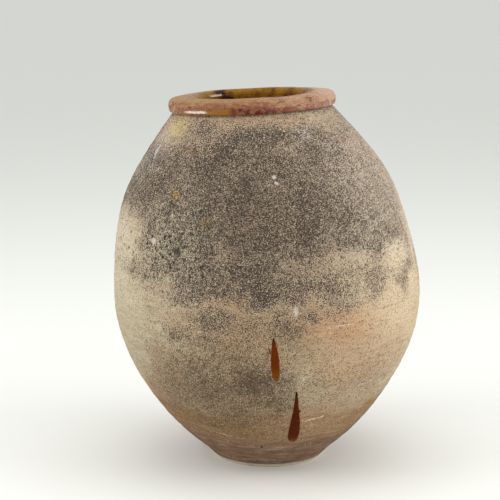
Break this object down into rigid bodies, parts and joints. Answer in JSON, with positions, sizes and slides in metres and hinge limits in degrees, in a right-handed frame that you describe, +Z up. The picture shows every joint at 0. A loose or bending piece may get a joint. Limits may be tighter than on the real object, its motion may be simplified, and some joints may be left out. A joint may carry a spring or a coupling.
{
  "type": "olive jar",
  "caption": "Big-bellied earthenware olive jar on a small flat foot, with a leaning shoulder, a thick rounded collar, a wide round mouth and an amber glaze inside.",
  "frame": {"origin": "centre of the flat foot, on the ground", "axes": "+Z up, -Y towards the viewer of the picture, +X to their right; the jar leans towards -X"},
  "size_m": [0.6211, 0.621, 0.7486],
  "materials": {
    "clay": "weathered bare earthenware, peppered with dark grains",
    "foot_clay": "bare mauve-brown earthenware",
    "lining_glaze": "glossy amber glaze",
    "collar_glaze": "thin worn pinkish glaze with ochre and maroon patches",
    "run_glaze": "glossy dark brown glaze"
  },
  "bodies": {
    "root": {"foot_disc": "foot_clay", "lower_wall": "clay", "upper_wall": "clay", "rim_collar": "clay", "lower_lining": "lining_glaze", "upper_lining": "lining_glaze", "collar_glaze": "collar_glaze", "upper_glaze_run": "run_glaze", "lower_glaze_run": "run_glaze"}
  },
  "joints": []
}
